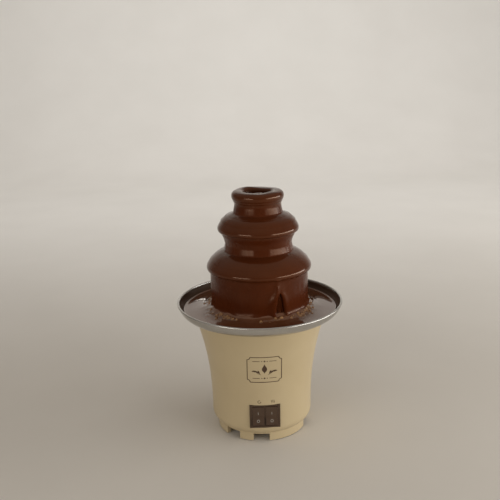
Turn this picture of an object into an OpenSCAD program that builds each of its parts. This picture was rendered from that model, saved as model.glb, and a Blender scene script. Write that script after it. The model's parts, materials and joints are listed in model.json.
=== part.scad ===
// Table chocolate fountain with three tiers, shown running.
// Millimetres, +Z up, the switches face -Y, the origin is on the floor under the tower's axis.
// Azimuths are counted from the front, positive towards +X.

/* [Base] */
// Height of the base plate's underside above the floor
plate_z = 8.2; // [6:0.2:14]
// Thickness of the base plate
plate_t = 2.4; // [1.6:0.2:4]
// Setback of the leg ring from the housing's belly
leg_inset = 5.5; // [3:0.5:7]
// Radial thickness of the legs
leg_t = 4; // [3:0.5:5]
// Angle that each long leg spans
leg_span = 60; // [40:1:70]
// Angle that each short leg spans
tab_span = 18; // [10:1:26]
// Azimuth of the first short leg
tab_azimuth = -24; // [-30:1:30]
// Thickness of the rubber pads under the long legs
pad_t = 0.8; // [0.5:0.1:2]
// Angle that each pad spans
pad_span = 44; // [20:1:60]
// Distance of the base screws from the axis
post_at = 36; // [34:0.5:37]
// Height of the screw posts
post_h = 22; // [14:1:26]

/* [Housing] */
// Outer radius of the belly, above the rounded lower edge
belly_r = 50.5; // [50:0.5:56]
// Outer radius at the flared top
top_r = 65.5; // [63:0.5:71]
// Height from the base plate's underside to the top edge
housing_h = 112.2; // [106:0.2:134]
// Wall thickness of the housing
wall = 2.2; // [1.6:0.1:2.8]
// Radius of the rounded lower edge
corner_r = 10; // [9:0.5:14]
// Power of the flare curve
flare = 2.4; // [1.8:0.1:3.4]
// Thickness of the shelf inside
shelf_t = 2.5; // [2:0.1:3.5]
// Drop from the bowl's underside to the shelf's top
shelf_drop = 10.5; // [10:0.5:14]
// Radius of the shelf's opening
shelf_in_r = 30; // [26:0.5:31]

/* [Bowl] */
// Outer radius of the rolled rim
rim_r = 82; // [78:0.5:92]
// Height of the rim above the shoulder
lip_h = 13; // [10:0.5:20]
// Depth of the well below the shoulder
well_depth = 24; // [20:0.5:30]
// Room between the well's wall and the housing
well_gap = 1.4; // [1:0.1:2.4]
// Radius at the foot of the well's wall
well_corner = 8; // [4:0.5:9]
// Sheet thickness
sheet = 1; // [0.8:0.1:1.4]
// Radius of the rolled bead
bead_r = 1.1; // [0.8:0.1:1.8]
// Drop from the rim to the chocolate's level
pool_drop = 6.7; // [5.5:0.1:8]
// Distance of the bowl's studs from the axis
stud_at = 46; // [45:0.5:47]
// Radius of the bowl's studs
stud_r = 2; // [1.5:0.1:2.2]

/* [Tower] */
// Radius of the tube's bore
bore_r = 13; // [12:0.1:14]
// Wall of the tube at its thin top
tube_t = 1.6; // [1.2:0.1:2]
// Width of the step that each canopy sits on
step_w = 0.6; // [0.4:0.1:0.8]
// Width of the foot flange beyond the tube
flange_w = 3.6; // [3.2:0.1:5]
// Height of the foot flange
flange_h = 4; // [3:0.5:6]
// Height of the inlets above the flange
inlet_h = 11; // [6:0.5:16]
// Radius of the lower canopy
lower_r = 49.5; // [44:0.5:52]
// Top of the lower canopy above the bowl's floor
lower_h = 86.5; // [76:0.5:92]
// Height of the lower canopy's dome
lower_dome = 13; // [9:0.5:15]
// Radius of the upper canopy
upper_r = 37.6; // [33:0.2:39]
// Rise of the upper canopy's top above the lower one's
upper_rise = 36.5; // [32:0.5:40]
// Height of the upper canopy's dome
upper_dome = 11.5; // [8:0.5:12]
// Radius of the crown
crown_r = 22.6; // [21:0.2:24]
// Rise of the crown's top above the upper canopy's
crown_rise = 21.5; // [17:0.5:24]
// Thickness of the canopies
canopy_t = 1.6; // [1.2:0.1:2]
// Height of the skirt below a dome
skirt_h = 4.8; // [3.5:0.1:6]
// How far the skirt turns in
skirt_in = 1.2; // [0.6:0.1:1.8]
// Height of a canopy's sleeve
sleeve_h = 8.5; // [6:0.5:10]
// Wall of a canopy's sleeve
sleeve_t = 2.4; // [1.8:0.1:2.6]

/* [Chocolate] */
// Thickness of the coat at the widest line of a tier
coat_t = 2.2; // [1.6:0.1:3]
// Thickness of a falling curtain
curtain_t = 2.2; // [1.6:0.1:2.6]
// How far the curtain falls inside the canopy's edge
drip_in = 1.5; // [1:0.1:2.2]
// Height of the drop under a canopy's edge
drip_h = 3.4; // [2.5:0.1:5]
// How far the middle curtain draws in on its way down
middle_pull = 3.4; // [1:0.1:4]
// Thickness of the coat on the crown's rim
crest_t = 2.5; // [1.8:0.1:3.2]
// Height above a tier where its coat meets the curtain from above
join_h = 5.5; // [4:0.1:6]
// Azimuth of the split in the lowest curtain
split_azimuth = 24.4; // [-60:0.2:60]
// Width of the split at the pool
split_w = 9.6; // [6:0.2:16]
// Height of the split
split_h = 22; // [10:0.5:24]

/* [Auger] */
// Room between the auger and the bore
auger_gap = 0.6; // [0.4:0.1:1]
// Pitch of the flight
auger_pitch = 22; // [18:1:30]
// Thickness of the flight
flight_t = 2.2; // [1.6:0.1:3]
// Radius of the core
core_r = 4; // [3.6:0.1:6]
// Radius of the hub
hub_r = 7.2; // [6:0.1:8]
// Height of the hub
hub_h = 20; // [16:0.5:26]

/* [Drive] */
// Radius of the drive shaft
shaft_r = 3; // [2.5:0.1:3.4]
// Distance of the drive flat from the shaft's axis
flat_at = 2.2; // [1.8:0.1:2.3]
// Radius of the bowl bush where it passes the floor
bush_r = 6; // [5:0.1:6.5]
// Height of the bowl bush above the floor
bush_h = 4.5; // [3.5:0.1:6]
// Length of the bowl bush below the floor
bush_len = 6.5; // [6:0.1:7.5]
// Width of the bowl bush's flange
bush_flange_w = 3.5; // [2.5:0.1:4.5]
// Thickness of the bowl bush's flange
bush_flange_t = 2; // [1.5:0.1:2.5]
// Width of the bush's nut across the flats
bush_nut_w = 19; // [17:0.5:22]
// Height of the bush's nut
bush_nut_h = 5; // [4:0.1:5.5]
// Height of the shaft seal
seal_h = 1.5; // [1:0.1:2.5]
// Module of the gears
gear_mod = 0.7; // [0.6:0.05:0.75]
// Teeth of the motor pinion and of the idler's pinion
pinion_teeth = 14; // [14:1:16]
// Teeth of the idler's wheel
wheel_teeth = 42; // [36:1:44]
// Teeth of the output gear
output_teeth = 48; // [40:1:50]
// Azimuth of the idler
idler_azimuth = 225; // [205:1:240]
// Face width of a gear
gear_w = 5.5; // [4:0.5:6]
// Height of the room for the gears
gear_room = 16; // [15:0.5:20]
// Thickness of the gear cover
cover_t = 3; // [2.4:0.2:4]
// Thickness of the gear case's floor
case_t = 2.4; // [2:0.2:3]
// Radius of the idler's axle
axle_r = 1.5; // [1.2:0.1:2]
// Distance of the long screws from the axis
hang_at = 36; // [35:0.5:38]
// Thickness of the gear case's lugs
lug_t = 4; // [3:0.5:5]

/* [Motor] */
// Radius of the motor can
motor_r = 13.8; // [12.5:0.1:15]
// Length of the motor can
motor_len = 31; // [26:1:34]
// Length of the motor's end cap
cap_len = 4; // [3:0.5:6]
// Radius of the motor shaft
rotor_r = 1.15; // [1:0.05:1.4]
// Sheet of the motor can
can_t = 1.2; // [0.8:0.1:1.6]
// Thickness of the magnets
magnet_t = 3; // [2:0.1:4]
// Room between the magnets and the armature
air_gap = 0.6; // [0.4:0.1:1]
// Room for the windings at the can's closed end
coil_room = 6; // [5:0.5:8]
// Distance of the motor's screws from its axis
motor_screw_at = 8.5; // [7.5:0.1:9.5]

/* [Fasteners] */
// Radius of the screws in the housing
screw_r = 1.5; // [1.2:0.1:2]
// Depth of the base screws in their posts
screw_bite = 8; // [6:0.5:12]
// Radius of the motor's screws
motor_screw_r = 1.25; // [1:0.05:1.5]
// Width of the bowl's nuts across the flats
nut_w = 7; // [6:0.1:8]
// Height of the bowl's nuts
nut_h = 3.2; // [2.4:0.1:4]

/* [Heater] */
// Thickness of the heater ring
heater_t = 2; // [1.4:0.1:2.4]
// Thickness of the heater's clamp ring
clamp_t = 1.2; // [0.8:0.1:1.6]
// Inner radius of the heater ring
heater_in_r = 24; // [20:0.5:28]
// Radius of the thermostat
thermo_r = 7; // [6:0.1:8]

/* [Switches] */
// Width of the switch frame
frame_w = 29.6; // [29.2:0.2:33]
// Height of the switch frame
frame_h = 24; // [23.8:0.2:28]
// Height of the frame's middle above the floor
switch_z = 30; // [29:0.5:44]
// Thickness of the frame's flange
frame_t = 2.2; // [1.6:0.1:3]
// Width of one rocker
rocker_w = 11.6; // [10.6:0.1:11.8]
// Radius of a rocker's swing
rocker_r = 10.2; // [9.6:0.1:10.6]
// Tilt of a rocker from its middle to either stop
rocker_tilt = 9; // [6:0.5:10]
// Depth of the switch's body behind the panel
switch_depth = 15; // [13:0.5:18]

/* [Cord gland] */
// Radius of the gland's bore
gland_bore = 3.4; // [2.8:0.1:3.8]
// Radius of the gland's neck
gland_r = 5; // [4.6:0.1:6]
// Height of the gland above the floor
gland_z = 24; // [22:0.5:40]

/* [Fits] */
// Room between pieces that are put together
fit_gap = 0.2; // [0.12:0.02:0.3]
// Room round a turning shaft
run_gap = 0.05; // [0.03:0.01:0.08]
// Room round a pressed or screwed shank
press_gap = 0.02; // [0.01:0.01:0.04]
// Room between the chocolate and what it covers
coat_gap = 0.3; // [0.25:0.05:0.4]

/* [Hidden] */
$fn = 96;

// Heights, from the floor up
plate_top = plate_z + plate_t;
belly_z = plate_z + corner_r;
top_z = plate_z + housing_h;
rim_z = top_z + lip_h;
bowl_under = top_z - well_depth;
bowl_floor = bowl_under + sheet;
pool_z = rim_z - pool_drop;
shelf_top = bowl_under - shelf_drop;
cover_top = shelf_top - shelf_t;
room_top = cover_top - cover_t;
room_floor = room_top - gear_room;
case_under = room_floor - case_t;
wheel_z = room_floor + 1.6;
output_z = room_top - 1.6 - gear_w;
motor_under = case_under - motor_len;
lower_top = bowl_floor + lower_h;
upper_top = lower_top + upper_rise;
crown_top = upper_top + crown_rise;
tube_top = crown_top - 10;
bush_top = bowl_floor + bush_h;
seal_top = bush_top + seal_h;
hub_z = seal_top + coat_gap;
shaft_top = hub_z + hub_h - 2;

// Radii
opening_r = belly_r - leg_inset + fit_gap;
leg_ring_r = belly_r - leg_inset;
shoulder_r = top_r + 0.5;
well_r = housing_r(bowl_under + well_corner) - wall - well_gap;
dish_w = rim_r - bead_r - shoulder_r;
tube_top_r = bore_r + tube_t;
tube_mid_r = tube_top_r + step_w;
tube_low_r = tube_mid_r + step_w;
flange_r = tube_low_r + flange_w;
pin_at = tube_low_r + flange_w / 2;
sleeve_r = tube_low_r + sleeve_t;
auger_r = bore_r - auger_gap;
neck_r = crown_r + 0.2;
fall_r = upper_r - drip_in - middle_pull;
fall_in = fall_r - curtain_t;

// Gear train
pinion_r = gear_mod * pinion_teeth / 2;
wheel_r = gear_mod * wheel_teeth / 2;
output_r = gear_mod * output_teeth / 2;
idler_at = output_r + pinion_r;
motor_at = wheel_r + pinion_r;
idler_xy = [idler_at * sin(idler_azimuth), -idler_at * cos(idler_azimuth)];
motor_turn = 0;
motor_xy = idler_xy + motor_at * [sin(motor_turn), -cos(motor_turn)];

// Switch
panel_y = sqrt(pow(housing_r(switch_z - frame_h / 2), 2) - pow(frame_w / 2 + 0.6, 2)) - 0.2;
window_w = rocker_w + 2 * fit_gap;
divider_w = 1.2;
pivot_u = 1;
switch_w = 2 * window_w + divider_w + 2.4;
pivot_y = -panel_y + pivot_u;

function housing_r(z) =
    belly_r + (top_r - belly_r) * pow(max(0, z - belly_z) / (top_z - belly_z), flare);
function arc(c, rx, rz, from, to, steps) =
    [for (i = [0:steps])
        let (a = from + (to - from) * i / steps) [c[0] + rx * cos(a), c[1] + rz * sin(a)]];
function curve(a, b, c, d, steps) =
    [for (i = [0:steps])
        let (t = i / steps, s = 1 - t)
        s * s * s * a + 3 * s * s * t * b + 3 * s * t * t * c + t * t * t * d];
function flare_line(inset, from, to, steps) =
    [for (i = [0:steps])
        let (z = from + (to - from) * i / steps) [housing_r(z) - inset, z]];
function involute(a) = tan(a) * 180 / PI - a;

// Moves a piece out from the axis at an azimuth
module at_azimuth(a, r = 0) {
    rotate([0, 0, a - 90])
    translate([r, 0, 0])
    children();
}

// A ring between two radii and two heights
module ring(inner, outer, from, to) {
    translate([0, 0, from])
    difference() {
        cylinder(r = outer, h = to - from);
        translate([0, 0, -1])
        cylinder(r = inner, h = to - from + 2);
    }
}

// A rod between two heights
module rod(r, from, to) {
    translate([0, 0, from])
    cylinder(r = r, h = to - from);
}

// A piece of a ring that is centred on an azimuth
module ring_part(inner, outer, from, to, azimuth, span) {
    rotate([0, 0, azimuth - 90 - span / 2])
    rotate_extrude(angle = span)
    translate([inner, from])
    square([outer - inner, to - from]);
}

// A hexagonal nut between two heights
module nut(across, bore, from, to) {
    translate([0, 0, from])
    difference() {
        cylinder(r = across / sqrt(3), h = to - from, $fn = 6);
        translate([0, 0, -1])
        cylinder(r = bore, h = to - from + 2);
    }
}

// A pan-head screw that points up from its seat
module screw(r, seat, tip) {
    rod(1.95 * r, seat - 1.2 * r, seat);
    rod(r, seat - 0.2, tip);
}

// An involute gear with a tooth along +X
module gear_outline(teeth, addendum) {
    pitch_r = gear_mod * teeth / 2;
    base_r = pitch_r * cos(20);
    tip_r = pitch_r + addendum * gear_mod;
    root_r = pitch_r - 1.2 * gear_mod;
    foot_r = max(root_r + 0.05, base_r);
    half = 84 / teeth + involute(20);
    flank = [for (i = [0:4])
        let (r = foot_r + (tip_r - foot_r) * i / 4) [r, half - involute(acos(min(1, base_r / r)))]];
    side = concat([[root_r, flank[0][1] + 0.4]], flank);
    polygon([for (k = [0:teeth - 1])
        for (s = [-1, 1])
            for (i = [0:5])
                let (p = side[s < 0 ? i : 5 - i], a = k * 360 / teeth + s * p[1])
                [p[0] * cos(a), p[0] * sin(a)]]);
}

module gear(teeth, addendum, turn, from, to) {
    translate([0, 0, from])
    rotate([0, 0, turn])
    linear_extrude(height = to - from)
    gear_outline(teeth, addendum);
}

module housing() {
    corner = [belly_r - corner_r, belly_z];
    edge = acos((opening_r - corner[0]) / corner_r);
    inner_edge = acos(min(1, (opening_r - corner[0]) / (corner_r - wall)));
    color("Wheat")
    difference() {
        union() {
            rotate_extrude()
            polygon(concat(
                arc(corner, corner_r, corner_r, -edge, 0, 16),
                flare_line(0, belly_z + 3, top_z, 32),
                flare_line(wall, top_z, belly_z + 3, 24),
                arc(corner, corner_r - wall, corner_r - wall, 0, -inner_edge, 8)));
            ring(shelf_in_r, housing_r(cover_top) - wall / 2, cover_top, shelf_top);
            for (a = [0, 120, 240])
                at_azimuth(a + tab_azimuth + 60, post_at) {
                    rod(4, plate_top, plate_top + post_h);
                    translate([0, -1, belly_z + 1.4])
                    cube([belly_r - wall / 2 - post_at, 2, plate_top + post_h - belly_z - 1.4]);
                }
            intersection() {
                rod(belly_r - wall / 2, belly_z - 2, top_z - 40);
                translate([-frame_w / 2 - 2, -panel_y, switch_z - frame_h / 2 - 1])
                cube([frame_w + 4, 2.6, frame_h + 2]);
            }
        }
        translate([-frame_w / 2 - fit_gap, -panel_y - 20, switch_z - frame_h / 2 - fit_gap])
        cube([frame_w + 2 * fit_gap, 20, frame_h + 2 * fit_gap]);
        translate([-switch_w / 2 - fit_gap, -panel_y - 1, switch_z - rocker_r - 0.9 - fit_gap])
        cube([switch_w + 2 * fit_gap, 8, 2 * rocker_r + 1.8 + 2 * fit_gap]);
        translate([0, 0, gland_z])
        rotate([-90, 0, 0]) {
            rod(gland_r + fit_gap, belly_r - 8, belly_r + 8);
            rod(gland_r + 2 + fit_gap, belly_r - 0.7, belly_r + 8);
        }
        for (a = [0, 120, 240]) {
            at_azimuth(a, stud_at)
            rod(stud_r + fit_gap, cover_top - 1, shelf_top + 1);
            at_azimuth(a + tab_azimuth + 60, post_at)
            rod(screw_r + press_gap, plate_top - 1, plate_top + screw_bite + 4);
        }
        for (a = [40, 165, 290])
            at_azimuth(a, hang_at)
            rod(screw_r + press_gap, cover_top - 1, shelf_top + 1);
    }
}

module base_plate() {
    gap_span = 60 - (leg_span + tab_span) / 2;
    color("Wheat")
    difference() {
        rotate([0, 0, tab_azimuth - 90])
        rotate_extrude()
        polygon([[0, plate_z], [leg_ring_r - leg_t, plate_z], [leg_ring_r - leg_t, pad_t],
            [leg_ring_r, pad_t], [leg_ring_r, plate_top], [0, plate_top]]);
        for (a = [0, 120, 240]) {
            for (s = [-1, 1])
                ring_part(leg_ring_r - leg_t - 1, leg_ring_r + 1, pad_t - 1, plate_z + 0.1,
                    a + tab_azimuth + s * (tab_span + gap_span) / 2, gap_span);
            at_azimuth(a + tab_azimuth + 60, post_at)
            rod(screw_r + fit_gap, plate_z - 1, plate_top + 1);
        }
        for (a = [0:45:315])
            at_azimuth(a, 14)
            translate([0, -1.5, plate_z - 1])
            cube([12, 3, plate_t + 2]);
    }
}

module foot_pads() {
    color("DimGray")
    for (a = [0, 120, 240])
        ring_part(leg_ring_r - leg_t + 0.8, leg_ring_r - 0.8, 0, pad_t,
            a + tab_azimuth + 60, pad_span);
}

module base_screws() {
    color("Silver")
    for (a = [0, 120, 240])
        at_azimuth(a + tab_azimuth + 60, post_at)
        screw(screw_r, plate_z, plate_top + screw_bite);
}

module cord_gland() {
    color("Gray")
    translate([0, 0, gland_z])
    rotate([-90, 0, 0])
    difference() {
        union() {
            rod(gland_r, belly_r - 8, belly_r - 0.5);
            rod(gland_r + 2, belly_r - 0.7, belly_r + 1.6);
            rod(gland_bore + 1.4, belly_r + 1.4, belly_r + 6);
        }
        rod(gland_bore, belly_r - 9, belly_r + 7);
    }
}

module switch_frame() {
    tall = 2 * rocker_r + 2 * fit_gap;
    color("SaddleBrown")
    difference() {
        union() {
            translate([-frame_w / 2, -panel_y - frame_t, switch_z - frame_h / 2])
            cube([frame_w, frame_t, frame_h]);
            translate([-switch_w / 2, -panel_y - 0.5, switch_z - rocker_r - 0.9])
            cube([switch_w, switch_depth + 0.5, 2 * rocker_r + 1.8]);
        }
        for (s = [-1, 1])
            translate([s * (window_w + divider_w) / 2 - window_w / 2,
                -panel_y - frame_t - 1, switch_z - tall / 2])
            cube([window_w, frame_t + 1 + pivot_u + 6, tall]);
        translate([-switch_w / 2 + 0.4, pivot_y, switch_z])
        rotate([0, 90, 0])
        cylinder(r = 1 + run_gap, h = switch_w - 0.8);
    }
}

// A rocker about its pivot, pressed in at the top
module rocker(side) {
    tip_u = pivot_u + frame_t + 1.9;
    translate([side * (window_w + divider_w) / 2, pivot_y, switch_z])
    rotate([-rocker_tilt, 0, 0])
    rotate([0, 90, 0])
    rotate([0, 0, 90]) {
        intersection() {
            translate([0, 0, -rocker_w / 2])
            linear_extrude(height = rocker_w)
            polygon([[-tip_u, -12], [-tip_u + 1.7, 0], [-tip_u, 12],
                [-1.5, 12], [3.6, 3], [3.6, -3], [-1.5, -12]]);
            translate([0, 0, -rocker_w])
            cylinder(r = rocker_r, h = 2 * rocker_w);
        }
        translate([0, 0, -rocker_w / 2 - 0.7])
        cylinder(r = 1, h = rocker_w + 1.4);
    }
}

module motor_rocker() {
    color("SaddleBrown")
    rocker(-1);
}

module heat_rocker() {
    color("SaddleBrown")
    rocker(1);
}

module switch_terminals() {
    color("Goldenrod")
    for (s = [-1, 1])
        for (z = [-6, 0, 6])
            translate([s * (window_w + divider_w) / 2 - 2.4, -panel_y + switch_depth,
                switch_z + z - 0.4])
            cube([4.8, 7, 0.8]);
}

module bowl() {
    edge_z = rim_z - bead_r;
    color("Silver")
    rotate_extrude() {
        polygon(concat(
            [[bush_r + press_gap, bowl_under]],
            arc([well_r - well_corner, bowl_under + well_corner],
                well_corner, well_corner, -90, 0, 8),
            [[well_r, top_z]],
            arc([shoulder_r, edge_z], dish_w, edge_z - top_z, -90, 0, 20),
            arc([shoulder_r, edge_z], dish_w - sheet, edge_z - top_z - sheet, 0, -90, 16),
            arc([well_r + 2, top_z - 2 + sheet], 3, 2, 90, 180, 5),
            arc([well_r - well_corner, bowl_under + well_corner],
                well_corner - sheet, well_corner - sheet, 0, -90, 8),
            [[bush_r + press_gap, bowl_floor]]));
        translate([rim_r - bead_r, edge_z])
        circle(r = bead_r);
    }
}

module bowl_studs() {
    color("Silver")
    for (a = [0, 120, 240])
        at_azimuth(a, stud_at)
        rod(stud_r, cover_top - nut_h - 1.4 * stud_r, bowl_under);
}

module bowl_nuts() {
    color("Silver")
    for (a = [0, 120, 240])
        at_azimuth(a, stud_at)
        nut(nut_w, stud_r + press_gap, cover_top - nut_h, cover_top);
}

module tower_pins() {
    color("Silver")
    for (a = [60, 180, 300])
        at_azimuth(a, pin_at)
        rod(1, bowl_floor, bowl_floor + flange_h - 0.5);
}

module bowl_bush() {
    color("Goldenrod")
    difference() {
        union() {
            rod(bush_r, bowl_under - bush_len, bowl_floor + 0.5);
            rod(bush_r + bush_flange_w, bowl_floor, bowl_floor + bush_flange_t);
            rod(bush_r + 0.5, bowl_floor + bush_flange_t - 0.2, bush_top);
        }
        rod(shaft_r + run_gap, bowl_under - bush_len - 1, bush_top + 1);
    }
}

module bush_nut() {
    color("Goldenrod")
    nut(bush_nut_w, bush_r + press_gap, bowl_under - bush_nut_h, bowl_under);
}

module shaft_seal() {
    color("DimGray")
    ring(shaft_r + run_gap, bush_r + 0.5, bush_top, seal_top);
}

module heater_ring() {
    color("Peru")
    ring(heater_in_r, stud_at - stud_r - 2, bowl_under - heater_t, bowl_under);
}

module heater_clamp() {
    under = bowl_under - heater_t - clamp_t;
    color("Gainsboro")
    difference() {
        ring(heater_in_r - 2, stud_at + 4, under, under + clamp_t);
        for (a = [0, 120, 240])
            at_azimuth(a, stud_at)
            rod(stud_r + fit_gap, under - 1, under + clamp_t + 1);
    }
}

module heater_nuts() {
    under = bowl_under - heater_t - clamp_t;
    color("Silver")
    for (a = [0, 120, 240])
        at_azimuth(a, stud_at)
        nut(nut_w, stud_r + press_gap, under - nut_h, under);
}

module thermostat() {
    under = bowl_under - heater_t - clamp_t;
    color("Gainsboro")
    at_azimuth(60, stud_at - 10) {
        rod(thermo_r, under - 2, under);
        rod(thermo_r - 1, under - 5, under - 1.8);
        for (s = [-1, 1])
            translate([s * 2.5 - 0.4, -thermo_r - 4, under - 4.4])
            cube([0.8, thermo_r, 2]);
    }
}

// The outline that the gear case and its cover share
module gearbox_outline(room) {
    circle(r = output_r + room);
    translate(idler_xy)
    circle(r = wheel_r + room);
    translate(motor_xy)
    circle(r = motor_screw_at + 0.8 + room);
}

module hang_lugs() {
    for (a = [40, 165, 290])
        rotate([0, 0, a - 90]) {
            translate([hang_at, 0])
            circle(r = 4.5);
            translate([output_r, -4.5])
            square([hang_at - output_r, 9]);
        }
}

module gear_cover() {
    color("Ivory")
    difference() {
        translate([0, 0, room_top])
        linear_extrude(height = cover_t) {
            gearbox_outline(gear_mod + 3);
            hang_lugs();
        }
        rod(shaft_r + 1, room_top - 1, cover_top + 1);
        translate([idler_xy[0], idler_xy[1], 0])
        rod(axle_r + press_gap, room_top - 1, room_top + 1.5);
        for (a = [40, 165, 290])
            at_azimuth(a, hang_at)
            rod(screw_r + fit_gap, room_top - 1, cover_top + 1);
    }
}

module gear_case() {
    color("Ivory")
    difference() {
        union() {
            translate([0, 0, case_under])
            linear_extrude(height = room_top - case_under)
            gearbox_outline(gear_mod + 3);
            translate([0, 0, room_top - lug_t])
            linear_extrude(height = lug_t)
            hang_lugs();
        }
        translate([0, 0, room_floor])
        linear_extrude(height = gear_room + 1)
        gearbox_outline(gear_mod + 1);
        rod(shaft_r + 2 + press_gap, case_under - 1, room_floor + 1);
        translate([idler_xy[0], idler_xy[1], 0])
        rod(axle_r + press_gap, room_floor - 1.2, room_floor + 1);
        translate([motor_xy[0], motor_xy[1], 0]) {
            rod(4 + fit_gap, case_under - 1, room_floor + 1);
            for (s = [-1, 1])
                translate([0, s * motor_screw_at, 0])
                rod(motor_screw_r + fit_gap, case_under - 1, room_floor + 1);
        }
        for (a = [40, 165, 290])
            at_azimuth(a, hang_at)
            rod(screw_r + fit_gap, room_top - lug_t - 1, room_top + 1);
    }
}

module hang_screws() {
    color("Silver")
    for (a = [40, 165, 290])
        at_azimuth(a, hang_at)
        screw(screw_r, room_top - lug_t, shelf_top);
}

module lower_bush() {
    color("Goldenrod")
    difference() {
        union() {
            rod(shaft_r + 2, case_under, room_floor + 0.5);
            rod(shaft_r + 3.2, room_floor, room_floor + 1);
        }
        rod(shaft_r + run_gap, case_under - 1, room_floor + 2);
    }
}

module idler_axle() {
    color("Silver")
    translate([idler_xy[0], idler_xy[1], 0])
    rod(axle_r, room_floor - 1.2, room_top + 1.5);
}

module motor_can() {
    color("Silver")
    translate([motor_xy[0], motor_xy[1], 0])
    difference() {
        union() {
            rod(motor_r, motor_under, case_under);
            rod(4, case_under - 0.5, room_floor - 0.4);
        }
        rod(motor_r - can_t, motor_under - 1, case_under - can_t - 0.2);
        rod(rotor_r + run_gap, case_under - 3, room_floor + 1);
        for (s = [-1, 1])
            translate([0, s * motor_screw_at, 0])
            rod(motor_screw_r + press_gap, case_under - 3, case_under + 1);
    }
}

module motor_magnets() {
    color("DimGray")
    translate([motor_xy[0], motor_xy[1], 0])
    for (a = [0, 180])
        ring_part(motor_r - can_t - magnet_t, motor_r - can_t - press_gap,
            motor_under + coil_room - 2, case_under - coil_room, a, 120);
}

module motor_cap() {
    color("Gray")
    translate([motor_xy[0], motor_xy[1], 0])
    difference() {
        union() {
            rod(motor_r, motor_under - cap_len, motor_under);
            rod(motor_r - can_t - press_gap, motor_under - 0.5, motor_under + 1.5);
        }
        rod(rotor_r + run_gap, motor_under - cap_len - 1, motor_under + 3);
    }
}

module motor_terminals() {
    color("Goldenrod")
    translate([motor_xy[0], motor_xy[1], 0])
    for (s = [-1, 1])
        translate([s * 8 - 0.3, -1.4, motor_under - cap_len - 5])
        cube([0.6, 2.8, 5]);
}

module motor_screws() {
    color("Silver")
    translate([motor_xy[0], motor_xy[1], 0])
    for (s = [-1, 1])
        translate([0, s * motor_screw_at, 0]) {
            rod(1.76 * motor_screw_r, room_floor, room_floor + 1.2);
            rod(motor_screw_r, case_under - can_t, room_floor + 0.2);
        }
}

module drive_shaft() {
    color("Silver")
    difference() {
        rod(shaft_r, case_under + 0.4, shaft_top);
        translate([flat_at, -shaft_r, hub_z + 2])
        cube([2 * shaft_r, 2 * shaft_r, hub_h]);
    }
}

module output_gear() {
    color("White")
    difference() {
        union() {
            gear(output_teeth, 0.8, idler_azimuth - 90, output_z, output_z + gear_w);
            rod(shaft_r + 3.2, room_floor + 1 + fit_gap, output_z + 0.5);
        }
        rod(shaft_r + press_gap, room_floor, output_z + gear_w + 1);
    }
}

module idler_gear() {
    color("White")
    translate([idler_xy[0], idler_xy[1], 0])
    difference() {
        union() {
            gear(wheel_teeth, 0.8, motor_turn - 90, wheel_z, wheel_z + gear_w);
            gear(pinion_teeth, 1, idler_azimuth + 90 + 180 / pinion_teeth,
                wheel_z + gear_w - 0.5, output_z + gear_w);
        }
        rod(axle_r + run_gap, wheel_z - 1, output_z + gear_w + 1);
    }
}

module motor_shaft() {
    color("Silver")
    translate([motor_xy[0], motor_xy[1], 0])
    rod(rotor_r, motor_under - cap_len + 0.5, wheel_z + gear_w);
}

module armature() {
    color("Sienna")
    translate([motor_xy[0], motor_xy[1], 0])
    difference() {
        rod(motor_r - can_t - magnet_t - air_gap, motor_under + coil_room - 1, case_under - coil_room - 1);
        rod(rotor_r + press_gap, motor_under, case_under);
    }
}

module motor_pinion() {
    color("Goldenrod")
    translate([motor_xy[0], motor_xy[1], 0])
    difference() {
        gear(pinion_teeth, 1, motor_turn + 90 + 180 / pinion_teeth, wheel_z, wheel_z + gear_w);
        rod(rotor_r + press_gap, wheel_z - 1, wheel_z + gear_w + 1);
    }
}

// The flight as a strip that winds round the core
module flight(from, to) {
    steps = round(24 * (to - from) / auger_pitch);
    inner = core_r - 0.8;
    rings = [for (i = [0:steps])
        let (z = from + (to - from) * i / steps, a = 360 * (z - from) / auger_pitch)
        for (p = [[inner, 0], [auger_r, 0], [auger_r, flight_t], [inner, flight_t]])
            [p[0] * cos(a), p[0] * sin(a), z + p[1]]];
    sides = [for (i = [0:steps - 1])
        for (k = [0:3])
            let (a = 4 * i + k, b = 4 * i + (k + 1) % 4)
            for (f = [[a, b, b + 4], [a, b + 4, a + 4]]) f];
    last = 4 * steps;
    polyhedron(rings, concat(sides, [[0, 2, 1], [0, 3, 2]],
        [[last, last + 1, last + 2], [last, last + 2, last + 3]]));
}

module auger() {
    color("Ivory")
    difference() {
        union() {
            rod(hub_r, hub_z, hub_z + hub_h);
            rod(core_r, hub_z + hub_h - 1, tube_top - 2);
            flight(hub_z + 1, tube_top - 2 - flight_t);
        }
        rod(shaft_r + run_gap, hub_z - 1, hub_z + 2.6);
        difference() {
            rod(shaft_r + run_gap, hub_z + 2.4, shaft_top);
            translate([flat_at + run_gap, -2 * shaft_r, hub_z])
            cube([4 * shaft_r, 4 * shaft_r, hub_h]);
        }
    }
}

module tower_tube() {
    color("SaddleBrown")
    difference() {
        union() {
            rod(flange_r, bowl_floor, bowl_floor + flange_h);
            rod(tube_low_r, bowl_floor + flange_h - 1, lower_top - sleeve_h);
            rod(tube_mid_r, lower_top - sleeve_h - 1, upper_top - sleeve_h);
            rod(tube_top_r, upper_top - sleeve_h - 1, tube_top);
        }
        rod(bore_r, bowl_floor - 1, tube_top + 1);
        for (a = [60, 180, 300]) {
            at_azimuth(a, pin_at)
            rod(1 + fit_gap, bowl_floor - 1, bowl_floor + flange_h + 1);
            at_azimuth(a + 60, 0)
            translate([bore_r / 2, -6, bowl_floor + flange_h])
            cube([bore_r, 12, inlet_h]);
        }
    }
}

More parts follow.
